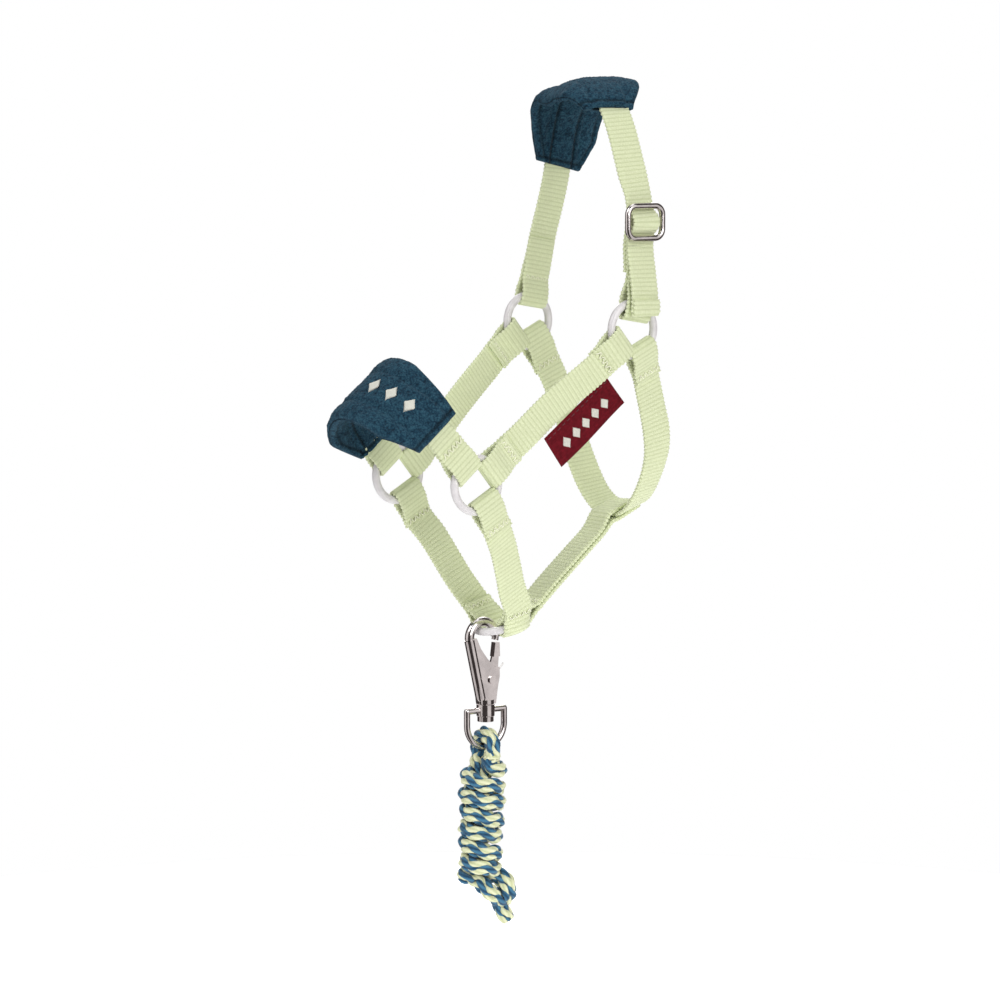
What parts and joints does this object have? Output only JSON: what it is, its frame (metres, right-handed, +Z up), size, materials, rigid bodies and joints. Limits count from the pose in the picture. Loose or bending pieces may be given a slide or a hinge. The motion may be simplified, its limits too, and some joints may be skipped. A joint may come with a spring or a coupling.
{
  "type": "toy head halter",
  "caption": "Small webbing head collar with fleece poll and nose sleeves, rings, a slider, a woven tag and a wound lead rope on a swivel snap hook.",
  "frame": {"origin": "middle of the crown strap where it crosses the poll, on the mid-plane", "axes": "+Z up as worn, -Y towards the nose, +X towards the wearer's left (near) side"},
  "size_m": [0.0631, 0.1145, 0.2682],
  "materials": {
    "webbing": "ribbed webbing",
    "thread": "sewing thread",
    "fleece": "short fleece pile",
    "fleece_thread": "sewing thread",
    "motif_thread": "satin stitch",
    "label": "woven satin",
    "label_thread": "sewing thread",
    "ring": "satin moulded",
    "nickel": "polished nickel plate",
    "spring_steel": "drawn wire",
    "rope": "braided cord"
  },
  "bodies": {
    "crown": {"crown_strap": "webbing", "slider_strap": "webbing", "slider_frame": "nickel", "slider_bar": "nickel", "poll_sleeve_outer": "fleece", "poll_sleeve_inner": "fleece", "poll_seams": "fleece_thread", "crown_stitches": "thread"},
    "crown_tail": {"crown_tail": "webbing"},
    "headstall": {"near_cheek_strap": "webbing", "far_cheek_strap": "webbing", "throat_strap": "webbing", "near_chin_strap": "webbing", "far_chin_strap": "webbing", "chin_connector": "webbing", "headstall_stitches": "thread"},
    "near_cheek_ring": {"near_cheek_ring": "ring"},
    "far_cheek_ring": {"far_cheek_ring": "ring"},
    "near_nose_ring": {"near_nose_ring": "ring"},
    "far_nose_ring": {"far_nose_ring": "ring"},
    "lead_ring": {"lead_ring": "ring"},
    "noseband": {"noseband_strap": "webbing", "nose_sleeve_outer": "fleece", "nose_sleeve_inner": "fleece", "nose_seams": "fleece_thread", "nose_motif": "motif_thread", "noseband_stitches": "thread"},
    "label": {"label": "label", "label_motif": "motif_thread", "label_stitches": "label_thread"},
    "snap": {"hook_body": "nickel", "gate_rivet": "nickel", "gate_spring": "spring_steel", "swivel_pin": "nickel"},
    "gate": {"gate": "nickel"},
    "swivel": {"swivel_eye": "nickel"},
    "rope": {"rope_loop": "rope", "rope_hank": "rope", "rope_knot": "rope"}
  },
  "joints": [
    {"name": "headstall_swing", "type": "hinge", "parent": "crown", "child": "headstall", "pos_m": [0, -0.0048, -0.076], "axis": [-1, 0, 0], "range_deg": [0, 15]},
    {"name": "noseband_swing", "type": "hinge", "parent": "headstall", "child": "noseband", "pos_m": [0, -0.0603, -0.1221], "axis": [-1, 0, 0], "range_deg": [0, 12]},
    {"name": "tail_flap", "type": "hinge", "parent": "crown", "child": "crown_tail", "pos_m": [0.02865, -0.0028, -0.0499], "axis": [0, -1, 0], "range_deg": [0, 40]},
    {"name": "label_flap", "type": "hinge", "parent": "headstall", "child": "label", "pos_m": [0.02525, -0.02522, -0.09998], "axis": [-0.0863, -0.7665, -0.6364], "range_deg": [0, 40]},
    {"name": "near_cheek_ring_turn", "type": "hinge", "parent": "crown", "child": "near_cheek_ring", "pos_m": [0.0275, -0.0048, -0.076], "axis": [1, 0, 0], "continuous": true},
    {"name": "far_cheek_ring_turn", "type": "hinge", "parent": "crown", "child": "far_cheek_ring", "pos_m": [-0.0275, -0.0048, -0.076], "axis": [1, 0, 0], "continuous": true},
    {"name": "near_nose_ring_turn", "type": "hinge", "parent": "headstall", "child": "near_nose_ring", "pos_m": [0.02125, -0.0603, -0.1221], "axis": [1, 0, 0], "continuous": true},
    {"name": "far_nose_ring_turn", "type": "hinge", "parent": "headstall", "child": "far_nose_ring", "pos_m": [-0.02125, -0.0603, -0.1221], "axis": [1, 0, 0], "continuous": true},
    {"name": "lead_ring_turn", "type": "hinge", "parent": "headstall", "child": "lead_ring", "pos_m": [0, -0.0356, -0.1689], "axis": [0, -0.2588, 0.9659], "continuous": true},
    {"name": "hook_swing", "type": "hinge", "parent": "headstall", "child": "snap", "pos_m": [0, -0.04357, -0.17103], "axis": [1, 0, 0], "range_deg": [-30, 30]},
    {"name": "gate_pivot", "type": "hinge", "parent": "snap", "child": "gate", "pos_m": [0, -0.04007, -0.18659], "axis": [1, 0, 0], "range_deg": [0, 18], "stiffness_Nm_per_rad": 0.02, "springref_deg": -17.19},
    {"name": "swivel_turn", "type": "hinge", "parent": "snap", "child": "swivel", "pos_m": [0, -0.04157, -0.19434], "axis": [0, 0, 1], "continuous": true},
    {"name": "rope_swing", "type": "hinge", "parent": "swivel", "child": "rope", "pos_m": [0, -0.04157, -0.20788], "axis": [0, 1, 0], "range_deg": [-35, 35]}
  ]
}
